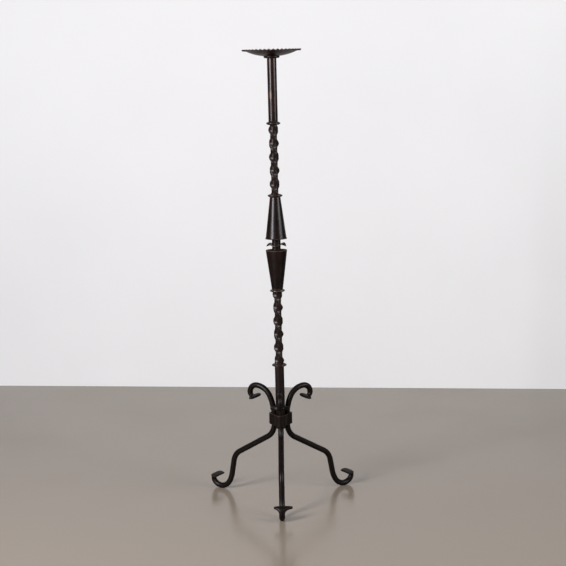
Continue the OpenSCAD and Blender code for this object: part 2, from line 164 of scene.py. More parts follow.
def closeEnd(points, faces, row, around, tip):
    # a fan from an end row to its tip
    points.append(tip)
    last = len(points) - 1
    for j in range(around):
        pair = (row * around + j, row * around + (j + 1) % around)
        faces.append((*pair[::-1], last) if row == 0 else (*pair, last))


def lathe(name, outline, around, material, node, shape=None):
    # an outline of (r, z) turned round Z; it is closed, or starts and ends on the axis
    onAxis = outline[0][0] < 1e-7
    rings = outline[1:-1] if onAxis else outline
    points = []
    for r, z in rings:
        for j in range(around):
            a = 2 * pi * j / around
            point = Vector((r * cos(a), r * sin(a), z))
            points.append(shape(point, a) if shape else point)
    faces = facesBetween(len(rings), around, not onAxis)
    if onAxis:
        closeEnd(points, faces, 0, around, Vector((0, 0, outline[0][1])))
        closeEnd(points, faces, len(rings) - 1, around, Vector((0, 0, outline[-1][1])))
    return addObject(name, points, faces, material, node)


def skin(name, rows, material, node):
    # a closed skin over rows of points, each row a ring, with a point in each end
    around = len(rows[0])
    points = [point for row in rows for point in row]
    faces = facesBetween(len(rows), around, False)
    for i in (0, len(rows) - 1):
        closeEnd(points, faces, i, around, sum(rows[i], Vector()) / around)
    return addObject(name, points, faces, material, node)


def hammer(point, size, depth, seed=0.0):
    # how far the hammer marks go in at a point, as 0 or less
    mark = noise.noise(point / size + Vector((seed, 3 * seed, 7 * seed)))
    return -depth * (0.5 + 0.5 * mark)


def pressIn(point, amount):
    # moves a point in towards the shaft's axis, where amount is negative
    r = hypot(point.x, point.y)
    if r < 1e-6:
        return point
    gain = 1 + amount / r
    return Vector((point.x * gain, point.y * gain, point.z))


def beaten(marks, seed):
    # marks are the size and the depth of the hammer marks, here and in each piece below
    return lambda point, a: pressIn(point, hammer(point, *marks, seed))


class Nodes:
    # a short way to write a material's nodes
    def __init__(self, name):
        self.material = bpy.data.materials.new(name)
        self.material.use_nodes = True
        self.tree = self.material.node_tree
        self.shader = self.tree.nodes["Principled BSDF"]
        self.place = self.add("ShaderNodeTexCoord").outputs["Object"]

    def add(self, kind, **settings):
        node = self.tree.nodes.new(kind)
        for key, value in settings.items():
            setattr(node, key, value)
        return node

    def join(self, source, target):
        self.tree.links.new(source, target)

    def stretch(self, scale):
        node = self.add("ShaderNodeMapping")
        node.inputs["Scale"].default_value = scale
        self.join(self.place, node.inputs["Vector"])
        return node.outputs["Vector"]

    def noise(self, scale, detail=4.0, rough=0.55, vector=None):
        node = self.add("ShaderNodeTexNoise")
        node.inputs["Scale"].default_value = scale
        node.inputs["Detail"].default_value = detail
        node.inputs["Roughness"].default_value = rough
        self.join(vector or self.place, node.inputs["Vector"])
        return node.outputs["Fac"]

    def span(self, value, low, high, toLow=0.0, toHigh=1.0):
        node = self.add("ShaderNodeMapRange", interpolation_type="SMOOTHSTEP")
        self.join(value, node.inputs["Value"])
        for key, number in (("From Min", low), ("From Max", high), ("To Min", toLow), ("To Max", toHigh)):
            node.inputs[key].default_value = number
        return node.outputs["Result"]

    def maths(self, operation, first, second):
        node = self.add("ShaderNodeMath", operation=operation)
        for socket, value in zip(node.inputs, (first, second)):
            if isinstance(value, (int, float)):
                socket.default_value = value
            else:
                self.join(value, socket)
        return node.outputs[0]

    def times(self, first, second):
        return self.maths("MULTIPLY", first, second)

    def plus(self, first, second):
        return self.maths("ADD", first, second)

    def mix(self, share, first, second):
        node = self.add("ShaderNodeMix", data_type="RGBA")
        self.join(share, node.inputs[0])
        for socket, value in ((node.inputs[6], first), (node.inputs[7], second)):
            if isinstance(value, tuple):
                socket.default_value = (*value, 1)
            else:
                self.join(value, socket)
        return node.outputs[2]

    def near(self, spot, size):
        # 1 at a spot, falling to 0 at its size away along each axis
        away = self.add("ShaderNodeVectorMath", operation="SUBTRACT")
        self.join(self.place, away.inputs[0])
        away.inputs[1].default_value = spot
        shrunk = self.add("ShaderNodeVectorMath", operation="DIVIDE")
        self.join(away.outputs[0], shrunk.inputs[0])
        shrunk.inputs[1].default_value = size
        length = self.add("ShaderNodeVectorMath", operation="LENGTH")
        self.join(shrunk.outputs[0], length.inputs[0])
        return self.span(length.outputs["Value"], 0.3, 1.0, 1.0, 0.0)

    def mark(self, label):
        return self.add("ShaderNodeAttribute", attribute_name=label).outputs["Fac"]

    def finish(self, color, rough, height, depth):
        bump = self.add("ShaderNodeBump")
        bump.inputs["Distance"].default_value = depth
        bump.inputs["Strength"].default_value = 1
        self.join(height, bump.inputs["Height"])
        self.join(bump.outputs["Normal"], self.shader.inputs["Normal"])
        self.join(color, self.shader.inputs["Base Color"])
        self.join(rough, self.shader.inputs["Roughness"])
        return self.material


# Forged iron under old black wax: linear colours of the scale, the browned skin, the
# rubbed edges and the painted shade in the hollows, then how rough, pitted and shiny it is
forgedIron = {
    "scale": (0.0052, 0.0036, 0.0031),
    "brown": (0.027, 0.0108, 0.0068),
    "rubbed": (0.20, 0.125, 0.085),
    # painted shade: the near-black colour that hollows and tight inner bends are darkened towards
    "hollowShade": (0.0016, 0.0013, 0.0012),
    "brownShare": 0.55,
    "rubbedShare": 0.55,
    "rough": (0.22, 0.36),
    "pits": 0.04 * mm,
    "grain": 1.0,
    "gloss": 0.25,
    "slantGloss": 0.05,       # how much of the gloss is left at a slant
    "metal": 0.0,
    "spot": None,             # place and size of a spot rubbed through by a hand
}


# Noises in the iron's skin, as (scale, detail, roughness)
ironNoise = {
    "patches": (26, 5, 0.6),
    "cloud": (130, 4, 0.6),
    "grain": (620, 3, 0.6),
    "fleck": (2100, 2, 0.5),
    "drawn": (240, 3, 0.55),
    "drawnOut": (1, 1, 0.09),     # the streaks are long along the bar
}


def ironMaterial(name, **changes):
    look = {**forgedIron, **changes}
    n = Nodes(name)
    patches = n.noise(*ironNoise["patches"])
    cloud = n.noise(*ironNoise["cloud"])
    grain = n.noise(*ironNoise["grain"])
    fleck = n.noise(*ironNoise["fleck"])
    drawn = n.noise(*ironNoise["drawn"], n.stretch(ironNoise["drawnOut"]))

    browned = n.span(n.plus(n.times(patches, 0.6), n.times(drawn, 0.4)), 0.40, 0.62)
    color = n.mix(n.times(browned, look["brownShare"]), look["scale"], look["brown"])
    color = n.mix(n.times(n.span(grain, 0.5, 0.72), 0.35), color, look["brown"])
    # painted shade: hollows and the inner sides of tight bends are darkened in the colour
    color = n.mix(n.times(n.mark("hollowShade"), 0.8), color, look["hollowShade"])
    broken = n.span(cloud, 0.36, 0.6, 0.25, 1.0)      # the wear is broken up into patches
    rubbed = n.times(n.times(n.mark("worn"), broken), look["rubbedShare"])
    if look["spot"]:
        held = n.times(n.near(*look["spot"]), n.span(grain, 0.38, 0.62, 0.3, 1.0))
        rubbed = n.maths("MAXIMUM", rubbed, held)
    color = n.mix(rubbed, color, look["rubbed"])

    uneven = n.plus(n.times(cloud, 0.6), n.times(grain, 0.4))
    rough = n.span(uneven, 0.38, 0.64, *look["rough"])
    height = n.plus(n.times(cloud, 0.9), n.times(grain, 0.45 * look["grain"]))
    height = n.plus(height, n.times(fleck, 0.16 * look["grain"]))
    n.shader.inputs["Metallic"].default_value = look["metal"]
    shine = n.shader.inputs["Specular IOR Level"]
    shine.default_value = look["gloss"]
    aside = n.add("ShaderNodeLayerWeight").outputs["Facing"]      # dusty wax is dull at a slant
    n.join(n.span(aside, 0.3, 0.85, look["gloss"], look["gloss"] * look["slantGloss"]), shine)
    return n.finish(color, rough, height, look["pits"] * 4)


shaftIron = ironMaterial(
    "waxed_shaft_iron", scale=(0.0042, 0.003, 0.0026), brown=(0.019, 0.0082, 0.0055), brownShare=0.5,
    rubbedShare=0.15, grain=0.3, pits=0.012 * mm, rough=(0.33, 0.38), gloss=0.22,
)
tubeIron = ironMaterial(
    "waxed_tube_iron", rubbedShare=0.2, grain=0.3, rough=(0.24, 0.27), gloss=0.28,
    pits=0.007 * mm, rubbed=(0.13, 0.07, 0.042),
    spot=((-5 * mm, -9.5 * mm, 938 * mm), (5 * mm, 5 * mm, 15 * mm)),
)
panIron = ironMaterial(
    "browned_pan_iron", brown=(0.046, 0.019, 0.010), brownShare=0.85, rubbedShare=0.3,
    rough=(0.3, 0.45), gloss=0.16, slantGloss=0.25,
)
ringIron = ironMaterial("dark_ring_iron", brownShare=0.3, rubbedShare=0.15, gloss=0.3)
brightRingIron = ironMaterial(
    "rubbed_ring_iron", brown=(0.03, 0.019, 0.014), rubbedShare=0.45, rough=(0.2, 0.28), gloss=0.5,
)
# painted highlight: the lighter brown and the strong rubbed share stand in for the light across the
# ruffle's front edge
ruffleIron = ironMaterial("ruffle_iron_with_painted_highlight", brown=(0.036, 0.02, 0.013), rubbedShare=0.45)
coneIron = ironMaterial(
    "waxed_cone_iron", scale=(0.0032, 0.0023, 0.0020), brown=(0.017, 0.0076, 0.0052), brownShare=0.4,
    rubbedShare=0.15, grain=0.3, pits=0.008 * mm, rough=(0.29, 0.32), gloss=0.26, slantGloss=0.02,
)
legIron = ironMaterial(
    "matt_leg_iron", scale=(0.0028, 0.0020, 0.0017), brown=(0.009, 0.005, 0.0034),
    rough=(0.30, 0.44), rubbedShare=0.06, gloss=0.125, slantGloss=0.03,
)
bandIron = ironMaterial(
    "browned_band_iron", scale=(0.0034, 0.0025, 0.0021), brown=(0.0095, 0.0058, 0.004),
    rough=(0.3, 0.45), rubbedShare=0.14, gloss=0.13,
)
lowerConeIron = ironMaterial(
    "browned_cone_iron", scale=(0.0034, 0.0024, 0.0020), brown=(0.014, 0.0066, 0.0044),
    brownShare=0.7, rough=(0.34, 0.44), rubbedShare=0.3, gloss=0.14,
)
seatIron = ironMaterial("sooty_seat_iron", brownShare=0.3, rubbedShare=0.1, rough=(0.32, 0.46), gloss=0.15)
innerIron = ironMaterial("sooty_inner_iron", brownShare=0.3, rubbedShare=0.2, rough=(0.55, 0.75))
screwSteel = ironMaterial(
    "dull_screw_steel", scale=(0.09, 0.085, 0.08), brown=(0.14, 0.12, 0.10),
    rubbed=(0.4, 0.38, 0.35), rough=(0.3, 0.45), metal=0.9,
)
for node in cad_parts.values():
    for slot in node.material_slots:
        slot.material = innerIron
print("materials ready")


pan = {
    "flat": 18 * mm,          # radius of the flat middle
    "flare": 10 * mm,         # width of the crimped flare
    "slopes": (radians(6), radians(25)),
    "sheet": 1.6 * mm,
    "scallops": 42,
    "cut": 2.0 * mm,          # depth of the notches between the scallops
    "crimp": 2.7 * mm,        # how far the notches are pressed down
    "pinch": 11.5 * mm,       # how far in from the rim the tongs reached
    "hand": 0.3,              # how much the notches differ
    "marks": (12 * mm, 0.35 * mm),
    "dapple": (9 * mm, 0.06 * mm),
    "plain": 25 * mm,         # the dish is smooth inside this radius
    "around": 42 * 14,
    "bowlRows": 14,
    "flareRows": 8,
}
screw = {
    "shank": 3 * mm,
    "head": 6 * mm,
    "slotWidth": 1.2 * mm,
    "slotDepth": 1.3 * mm,
    "slotTurn": radians(28),
    "around": 64,
}


def panLine():
    # the underside of the pan from the flat's edge out to the rim, as (r, height)
    foot, rim = pan["slopes"]
    gain = sin(rim) - sin(foot)
    bowl = (radiusOf("drip_pan") - pan["flare"] - pan["flat"]) / gain
    turn = pan["flare"] / gain
    points = []
    for k in range(pan["bowlRows"] + 1):
        t = foot + (rim - foot) * k / pan["bowlRows"]
        points.append((pan["flat"] + bowl * (sin(t) - sin(foot)), bowl * (cos(foot) - cos(t))))
    r, h = points[-1]
    for k in range(1, pan["flareRows"] + 1):
        t = rim + (foot - rim) * k / pan["flareRows"]
        points.append((r + turn * (sin(rim) - sin(t)), h + turn * (cos(t) - cos(rim))))
    return points


def addPan():
    base = lowOf("drip_pan")[2]
    sheet = pan["sheet"]
    line = panLine()
    mid = [(pan["flat"] * k / 4, 0) for k in (2, 3)]
    under = [(screw["head"] - sheet + fit, 0)] + mid + line
    over = [(screw["head"] + fit, sheet)] + [(r, h + sheet) for r, h in mid + line]
    edge = line[-1]
    nose = [(edge[0], edge[1] + sheet * t) for t in (0.2, 0.5, 0.8)]
    outline = [(r, base + h) for r, h in under + nose + over[::-1]]
    rim = radiusOf("drip_pan")

    def crimped(point, a):
        r = hypot(point.x, point.y)
        notch = 0.5 - 0.5 * cos(pan["scallops"] * a)      # 0 on a scallop, 1 in a notch
        notch *= 1 + pan["hand"] * (noise.noise(Vector((5 * cos(a), 5 * sin(a), 0))) - 0.5)
        pinched = max(0.0, 1 + (r - rim) / pan["pinch"]) ** 1.3
        point = pressIn(point, -pan["cut"] * notch * pinched)
        point = pressIn(point, hammer(point, *pan["marks"], 2) * min(1, r / rim) ** 4)
        size, depth = pan["dapple"]
        dapple = depth * (noise.noise(point / size) - 1) * min(1, (r / pan["plain"]) ** 4)
        down = dapple * (1 - pinched) - pan["crimp"] * notch * pinched
        return point + Vector((0, 0, down))

    lathe("crimped_drip_pan", outline, pan["around"], panIron, "drip_pan", crimped)


def cutSlot(piece, top):
    # the driver's slot across the screw's head
    wide, deep = screw["slotWidth"] / 2, screw["slotDepth"]
    reach = screw["head"] * 1.3       # past the head on both sides
    across = [(-reach, -wide), (reach, -wide), (reach, wide), (-reach, wide)]
    corners = [(x, y, z) for z in (top - deep, top + deep) for x, y in across]
    faces = [(3, 2, 1, 0), (4, 5, 6, 7), (0, 1, 5, 4), (1, 2, 6, 5), (2, 3, 7, 6), (3, 0, 4, 7)]
    mesh = bpy.data.meshes.new("slot_cutter")
    mesh.from_pydata(corners, [], faces)
    cutter = bpy.data.objects.new("slot_cutter", mesh)
    bpy.context.scene.collection.objects.link(cutter)
    cutter.rotation_euler = (0, 0, screw["slotTurn"])
    change = piece.modifiers.new("slot", "BOOLEAN")
    change.operation = "DIFFERENCE"
    change.object = cutter
    bpy.context.view_layer.update()
    shown = piece.evaluated_get(bpy.context.evaluated_depsgraph_get())
    cut = bpy.data.meshes.new_from_object(shown)
    piece.modifiers.clear()
    piece.data = cut
    cut.set_sharp_from_angle(angle=radians(30))
    bpy.data.objects.remove(cutter)


def addScrew():
    low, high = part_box("pan_screw")
    head, shank = screw["head"], screw["shank"]
    corners = [
        (0, low[2], 0),
        (shank, low[2], 0.6 * mm),
        (shank, high[2] - (head - shank), 0),
        (head, high[2], 0.25 * mm),
        (0, high[2], 0),
    ]
    outline = roundCorners(corners, 4)
    around = screw["around"]
    piece = lathe("slotted_pan_screw", outline, around, screwSteel, "pan_screw")
    cutSlot(piece, high[2])


seat = {
    "bevel": 2 * mm,          # how much smaller its foot is
    "bevelHeight": 1.6 * mm,
    "marks": (7 * mm, 0.25 * mm),
    "row": 1.2 * mm,          # the most between two rows of points, here and below
    "around": 120,
}


def addSeat():
    low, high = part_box("pan_seat")
    top = radiusOf("pan_seat")
    foot = top - seat["bevel"]
    hole = screw["shank"] + fit
    sink = screw["head"] - screw["shank"] - pan["sheet"]      # what is left of the countersink
    corners = [
        (hole, low[2], 0.1 * mm),
        (foot, low[2], 0.6 * mm),
        (top, low[2] + seat["bevelHeight"], 0.8 * mm),
        (top, high[2], 0.4 * mm),
        (hole + sink, high[2], 0),
        (hole, high[2] - sink, 0),
    ]
    outline = denser(roundCorners(corners), seat["row"])
    shape = beaten(seat["marks"], 4)
    lathe("bevelled_pan_seat", outline, seat["around"], seatIron, "pan_seat", shape)


tube = {
    "wall": 2.3 * mm,
    "edge": 0.5 * mm,
    "marks": (9 * mm, 0.10 * mm),
    "markLength": 0.3,        # a smaller number draws the marks out along the tube
    "row": 2.5 * mm,
    "around": 128,
}


def addTube(name, node, material, seed):
    low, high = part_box(node)
    out = radiusOf(node)
    bore = out - tube["wall"]
    corners = [
        (bore, low[2], 0.2 * mm),
        (out, low[2], tube["edge"]),
        (out, high[2], tube["edge"]),
        (bore, high[2], 0.2 * mm),
    ]
    outline = denser(roundCorners(corners, 4), tube["row"])

    def drawn(point, a):
        if hypot(point.x, point.y) < out - tube["wall"] / 2:
            return point
        long = Vector((point.x, point.y, point.z * tube["markLength"]))
        return pressIn(point, hammer(long, *tube["marks"], seed))

    lathe(name, outline, tube["around"], material, node, drawn)


tip = {
    "dome": 3 * mm,
    "marks": (8 * mm, 0.3 * mm),
    "row": 1.5 * mm,
    "around": 96,
}


def addTip():
    low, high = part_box("shaft_tip")
    out = radiusOf("shaft_tip")
    shoulder = lowOf("lower_tube")[2]
    spigot = out - tube["wall"] - fit
    corners = [
        (0, low[2], 0),
        (out, low[2], tip["dome"]),
        (out, shoulder, 0.3 * mm),
        (spigot, shoulder, 0),
        (spigot, high[2], 0.5 * mm),
        (0, high[2], 0),
    ]
    outline = denser(roundCorners(corners, 6), tip["row"], closed=False)
    shape = beaten(tip["marks"], 6)
    lathe("domed_shaft_tip", outline, tip["around"], shaftIron, "shaft_tip", shape)


ring = {
    "hole": 6.1 * mm,
    "face": 12.2 * mm,        # radius of the flat faces above and below
    "edge": 2.6 * mm,         # height of the blunt edge
    "round": 1.5 * mm,
    "marks": (6 * mm, 0.3 * mm),
    "row": 0.8 * mm,
    "around": 120,
}


def addRing(name, node, material, seed):
    low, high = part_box(node)
    out = radiusOf(node)
    slant = (high[2] - low[2] - ring["edge"]) / 2
    corners = [
        (ring["hole"], low[2], 0),
        (ring["face"], low[2], 0.5 * mm),
        (out, low[2] + slant, ring["round"]),
        (out, high[2] - slant, ring["round"]),
        (ring["face"], high[2], 0.5 * mm),
        (ring["hole"], high[2], 0),
    ]
    outline = denser(roundCorners(corners, 6), ring["row"])

    def forged(point, a):
        r = hypot(point.x, point.y)
        share = max(0, (r - ring["face"]) / (out - ring["face"]))
        return pressIn(point, share * hammer(point, *ring["marks"], seed))

    lathe(name, outline, ring["around"], material, node, forged)


# The bar is an oval with one sharp rib and, opposite, one broad rib, twisted to the left.
# The upper and the lower bar each have the length of one turn, and the angle at the top
bar = {
    "core": 7.9 * mm,
    "sharp": (9.7 * mm, 2.0 * mm),                  # reach of the rib's middle, its radius
    "broad": (7.05 * mm, 3.6 * mm, radians(15.5)),  # and half the angle between its corners
    "upper": (61.2 * mm, radians(114.3)),
    "lower": (62.3 * mm, radians(151.2)),
    "tenon": 6 * mm,
    "slice": 0.8 * mm,
    "around": 96,
    "marks": (14 * mm, 0.12 * mm),
}


def barOutline():
    # a cord drawn tight round the core, the sharp rib and the broad rib's two corners
    reach, sharp = bar["sharp"]
    far, broad, apart = bar["broad"]
    circles = [((0, 0), bar["core"]), ((reach, 0), sharp)]
    circles += [((-far * cos(apart), side * far * sin(apart)), broad) for side in (-1, 1)]
    points = []
    for k in range(bar["around"]):
        a = 2 * pi * (k + 0.5) / bar["around"]
        way = (cos(a), sin(a))
        (x, y), r = max(circles, key=lambda c: c[0][0] * way[0] + c[0][1] * way[1] + c[1])
        points.append((x + r * way[0], y + r * way[1]))
    return points


def addTwist(name, node, below, above, which, seed):
    pitch, phase = bar[which]
    low, high = highOf(below)[2], lowOf(above)[2]
    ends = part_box(node)
    outline = barOutline()
    slices = ceil((high - low) / bar["slice"])

    def rowAt(z, turn, flat):
        c, s = cos(turn), sin(turn)
        return [Vector((x * c - y * s, x * s + y * c, z)) for x, y in flat]

    angles = [atan2(y, x) for x, y in outline]
    tenon = [(bar["tenon"] * cos(a), bar["tenon"] * sin(a)) for a in angles]
    start = phase + 2 * pi * (high - low) / pitch
    rows = [rowAt(ends[0][2], start, tenon), rowAt(low, start, tenon)]
    for k in range(slices + 1):
        z = low + (high - low) * k / slices
        row = rowAt(z, phase + 2 * pi * (high - z) / pitch, outline)
        rows.append([pressIn(point, hammer(point, *bar["marks"], seed)) for point in row])
    rows += [rowAt(high, phase, tenon), rowAt(ends[1][2], phase, tenon)]
    skin(name, rows, shaftIron, node)


cone = {
    "wall": 2 * mm,
    "upperWide": 24 * mm,
    "upperNarrow": 12.2 * mm,
    "lowerMore": 0.7 * mm,    # how much the lower cone's radius is larger
    "lipHeight": 2 * mm,
    "marks": (14 * mm, 0.18 * mm),
    "nicks": (radians(-83), radians(-22)),      # two small dents in the lower cone's edge
    "nickHalf": 2.2 * mm,
    "nickTall": 3.5 * mm,
    "nickDeep": 0.9 * mm,
    "row": 2 * mm,
    "upperAround": 144,
    "lowerAround": 240,       # more, for the dents
}


def addUpperCone():
    low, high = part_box("upper_cone")
    lip, wide, narrow = radiusOf("upper_cone"), cone["upperWide"], cone["upperNarrow"]
    wall, lipHeight = cone["wall"], cone["lipHeight"]
    taper = (wide - narrow) / (high[2] - low[2])
    corners = [
        (wide - wall, low[2], 0.3 * mm),
        (lip, low[2], 0.7 * mm),
        (lip, low[2] + lipHeight, 0.6 * mm),
        (wide - lipHeight * taper, low[2] + lipHeight + 0.5 * mm, 1.4 * mm),
        (narrow, high[2], 0.5 * mm),
        (narrow - wall, high[2], 0.2 * mm),
    ]
    outline = denser(roundCorners(corners, 5), cone["row"])
    around = cone["upperAround"]
    shape = beaten(cone["marks"], 11)
    lathe("flared_upper_cone", outline, around, coneIron, "upper_cone", shape)


def addLowerCone():
    low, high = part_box("lower_cone")
    wide, narrow = radiusOf("lower_cone"), cone["upperNarrow"] + cone["lowerMore"]
    wall = cone["wall"]
    corners = [
        (narrow - wall, low[2], 0.2 * mm),
        (narrow, low[2], 0.5 * mm),
        (wide, high[2], 0.6 * mm),
        (wide - wall, high[2], 0.5 * mm),
    ]
    outline = denser(roundCorners(corners, 5), cone["row"])

    def dented(point, a):
        point = pressIn(point, hammer(point, *cone["marks"], 13))
        for at in cone["nicks"]:
            away = (a - at + pi) % (2 * pi) - pi
            deep = max(0, 1 - (away * wide / cone["nickHalf"]) ** 2)
            near = max(0, 1 - (high[2] - point.z) / cone["nickTall"])
            point = pressIn(point, -cone["nickDeep"] * deep * near)
        return point

    around = cone["lowerAround"]
    lathe("nicked_lower_cone", outline, around, lowerConeIron, "lower_cone", dented)


plate = {
    "edge": 0.4 * mm,
    "marks": (9 * mm, 0.15 * mm),
    "row": 1.5 * mm,
    "around": 96,
}


def addPlate(name, node, seed):
    low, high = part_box(node)
    out = radiusOf(node)
    hole = bar["tenon"] + fit
    corners = [
        (hole, low[2], 0.2 * mm),
        (out, low[2], plate["edge"]),
        (out, high[2], plate["edge"]),
        (hole, high[2], 0.2 * mm),
    ]
    outline = denser(roundCorners(corners, 4), plate["row"])
    shape = beaten(plate["marks"], seed)
    lathe(name, outline, plate["around"], innerIron, node, shape)


neck = {
    "edge": 0.4 * mm,
    "marks": (8 * mm, 0.25 * mm),
    "row": 1.5 * mm,
    "around": 96,
}


def addNeck():
    low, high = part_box("neck")
    foot, head = highOf("lower_cone")[2], lowOf("upper_cone")[2]
    out, tenon = radiusOf("neck"), bar["tenon"]
    corners = [
        (0, low[2], 0),
        (tenon, low[2], 0.3 * mm),
        (tenon, foot, 0),
        (out, foot, neck["edge"]),
        (out, head, neck["edge"]),
        (tenon, head, 0),
        (tenon, high[2], 0.3 * mm),
        (0, high[2], 0),
    ]
    outline = denser(roundCorners(corners, 4), neck["row"], closed=False)
    shape = beaten(neck["marks"], 17)
    lathe("round_neck", outline, neck["around"], shaftIron, "neck", shape)


ruffle = {
    "waves": 4,
    "rise": 3.8 * mm,
    "phase": radians(38),
    "flatter": 0.33,          # how much flatter the waves are in front and behind
    "sheet": 1.8 * mm,
    "thinner": 0.25,          # how much thinner the sheet is at its edge
    "nose": 0.018,            # depth of the edge's round, as a share of the width
    "hole": 10.2 * mm,
    "across": 16,
    "around": 192,
    "marks": (8 * mm, 0.4 * mm),
}


def addRuffle():
    low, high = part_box("ruffled_washer")
    middle = (low[2] + high[2]) / 2
    out, inner, half = radiusOf("ruffled_washer"), ruffle["hole"], ruffle["sheet"] / 2
    across = ruffle["across"]
    around = ruffle["around"]
    # the section is (share of the way out, side), with 1 for the upper side and -1 for the lower
    section = [(k / across, -1) for k in range(across)]
    section += [(1 - ruffle["nose"] * (1 - cos(k * pi / 4)), -cos(k * pi / 4)) for k in range(5)]
    section += [(k / across, 1) for k in range(across - 1, -1, -1)]
    points = []
    for share, side in section:
        for j in range(around):
            a = 2 * pi * j / around
            r = inner + (out - inner) * share
            rise = ruffle["rise"] * (1 - ruffle["flatter"] * (1 - cos(2 * a)))
            lift = rise * share ** 1.5 * cos(ruffle["waves"] * (a - ruffle["phase"]))
            thick = half * side * (1 - ruffle["thinner"] * share)
            point = Vector((r * cos(a), r * sin(a), middle + lift + thick))
            points.append(pressIn(point, share * hammer(point, *ruffle["marks"], 19)))
    faces = facesBetween(len(section), around, True)
    addObject("wavy_ruffle", points, faces, ruffleIron, "ruffled_washer")


# The path is walked from the band outwards, as in a drawing: a run is (length, 0) and a
# bend is (radius, angle turned), in millimetres and degrees
leg = {
    "bar": 13.5,
    "gap": 0.1,               # between the leg and the tube
    "foot": [(38, 60.2), (90.7, 0), (35, -49.2), (34.5, 0), (58, 24), (27, 55), (23.3, 50)],
    "footRun": 3,             # the run in "foot" that makes up for a lower slope, from 0
    "scroll": [(40, 14), (12, 0), (75, 16), (40, 60), (17.6, 90)],
    "scrollRun": 1,           # the run in "scroll" that is shorter on some legs, from 0
    "step": 1.3,
    "endStep": 1.3 / 1.4,     # the ends bend more, so their rows are closer
    "around": 40,
    "bandEdge": 0.5,
    "noses": (80, 55, 30),    # rows that round off an end, in degrees
    "squarer": 0.55,          # a flat blade has a fuller section than a round bar
    "marks": (9 * mm, 0.35 * mm),
    "fineMarks": (4 * mm, 0.12 * mm),
}
# Where each leg stands, in degrees. The legs were bent by hand, so here is also how much
# shorter a scroll's run is, how much lower a slope starts, and how far a foot's blade
# leans to one side, in millimetres
legsByHand = {
    "front_leg": (-90, 5, 0, 3),
    "right_leg": (30, 2.5, 2.5, 0),
    "left_leg": (150, 0, 0, 0),
}
# Each end is a spiral of (first radius, last radius, angle turned), then a blade of
# (radius, angle turned), forged out between the two shares of its length in "flare"
footEnd = {
    "spiral": (15.4, 5.5, 130),
    "blade": (23, 25),
    "width": 42,
    "thick": 4.6,
    "flare": (0.18, 0.72),
    "curl": -0.6,
}
scrollEnd = {
    "spiral": (11, 9, 90),
    "blade": (34, 12),
    "width": 45,
    "thick": 8,
    "flare": (0.56, 0.86),
    "curl": -0.8,
}


def pathMoves(path):
    moves = []
    for size, turn in path:
        if size == 0:
            continue
        length = size if turn == 0 else size * radians(abs(turn))
        parts = ceil(length / leg["step"])
        part = radians(turn) / parts
        step = size / parts if turn == 0 else 2 * size * sin(abs(part) / 2)
        moves += [(step, part, 0)] * parts
    return moves


def tailMoves(end):
    first, last, turn = end["spiral"]
    radius, bladeTurn = end["blade"]
    spiralLength = (first + last) / 2 * radians(turn)
    bladeLength = radius * radians(bladeTurn) - end["thick"] * 0.4    # the round nose adds this
    whole = spiralLength + bladeLength
    moves = []
    parts = ceil(spiralLength / leg["endStep"])
    part = radians(turn) / parts
    for k in range(parts):
        r = first + (last - first) * (k + 0.5) / parts
        moves.append((2 * r * sin(part / 2), part, spiralLength * (k + 1) / parts / whole))
    parts = ceil(bladeLength / leg["endStep"])
    part = bladeLength / radius / parts
    for k in range(parts):
        share = (spiralLength + bladeLength * (k + 1) / parts) / whole
        moves.append((2 * radius * sin(part / 2), part, share))
    return moves


def legStations(moves, start):
    x, z, heading = start, 0.0, 0.0
    stations = [(x, z, heading, 0.0)]
    for step, turn, share in moves:
        x += step * sin(heading + turn / 2)
        z += step * cos(heading + turn / 2)
        heading += turn
        stations.append((x, z, heading, share))
    return stations


def legSection(station, way, base, spin, seed, end, lean, nose):
    # way is 1 for the upper scroll, and -1 for the foot, which is walked downwards
    x, z, heading, share = station
    first, last = end["flare"]
    t = max(0.0, min(1.0, (share - first) / (last - first)))
    spread = t * t * (3 - 2 * t)
    halfWidth = (leg["bar"] + (end["width"] - leg["bar"]) * spread) / 2
    halfThick = (end["thick"] + (leg["bar"] - end["thick"]) * max(0.0, 1 - share) ** 1.1) / 2
    shrink = halfThick * (1 - cos(nose))
    ahead = halfThick * sin(nose)
    power = 1 - leg["squarer"] * spread
    row = []
    for j in range(leg["around"]):
        a = 2 * pi * j / leg["around"]
        side = copysign(abs(cos(a)) ** power, cos(a))
        face = copysign(abs(sin(a)) ** power, sin(a))
        off = (halfThick - shrink) * face - end["curl"] * spread * side * side
        across = (halfWidth - shrink) * side + lean * spread
        px = x + off * cos(heading) + ahead * sin(heading)
        pz = z - off * sin(heading) + ahead * cos(heading)
        point = Vector((px * mm, across * mm, base + way * pz * mm))
        axis = Vector((x * mm, 0, base + way * z * mm))
        dent = hammer(point + Vector((0, 0, seed)), *leg["marks"])
        dent += hammer(point + Vector((seed, 0, 0)), *leg["fineMarks"])
        point += (point - axis).normalized() * dent * (1 - 0.8 * spread)      # the blades are smoother
        point.z = max(point.z, 0.0)
        row.append(spin @ point)
    return row


def legStart():
    # how far from the shaft's axis the middle of a leg's bar is in the band, in millimetres
    return radiusOf("lower_tube") / mm + leg["bar"] / 2 + leg["gap"]


